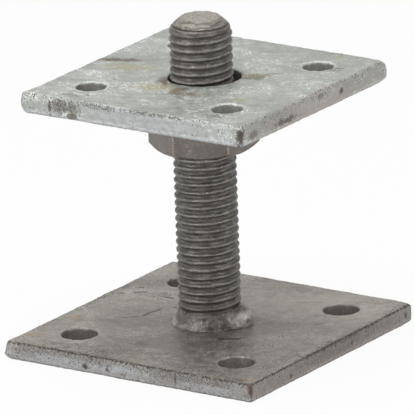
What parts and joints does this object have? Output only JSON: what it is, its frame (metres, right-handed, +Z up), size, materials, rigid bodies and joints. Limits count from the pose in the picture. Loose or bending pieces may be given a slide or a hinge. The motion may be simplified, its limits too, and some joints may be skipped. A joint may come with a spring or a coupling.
{
  "type": "adjustable timber post base",
  "caption": "Square galvanised floor plate with a welded threaded rod and an adjusting nut that carries a loose square plate for the foot of a timber post.",
  "frame": {"origin": "middle of the floor plate's underside, on the rod's axis", "axes": "+Z up along the rod, +X and +Y along the sides of the square plates"},
  "size_m": [0.09, 0.09, 0.104],
  "materials": {
    "base_zinc": "hot-dip galvanised steel, weathered warm grey, scratched",
    "rod_zinc": "hot-dip galvanised steel thread, dark in the grooves",
    "weld_zinc": "galvanised weld bead, lumpy",
    "nut_zinc": "galvanised steel nut, brown-grey",
    "top_zinc": "hot-dip galvanised steel, pale grey, stained near the rod"
  },
  "bodies": {
    "base": {"base_plate": "base_zinc", "threaded_rod": "rod_zinc", "weld_bead": "weld_zinc"},
    "post_seat": {"top_plate": "top_zinc"},
    "nut": {"hex_nut": "nut_zinc"}
  },
  "joints": [
    {"name": "seat_height", "type": "slide", "parent": "base", "child": "post_seat", "axis": [0, 0, 1], "range_m": [-0.048, 0.018]},
    {"name": "nut_turn", "type": "hinge", "parent": "post_seat", "child": "nut", "pos_m": [0, 0, 0.0705], "axis": [0, 0, 1], "range_deg": [-6912, 2592]}
  ],
  "couplings": [
    {"joint": "nut_turn", "follows": "seat_height", "rad_per_m": 2513.3}
  ]
}
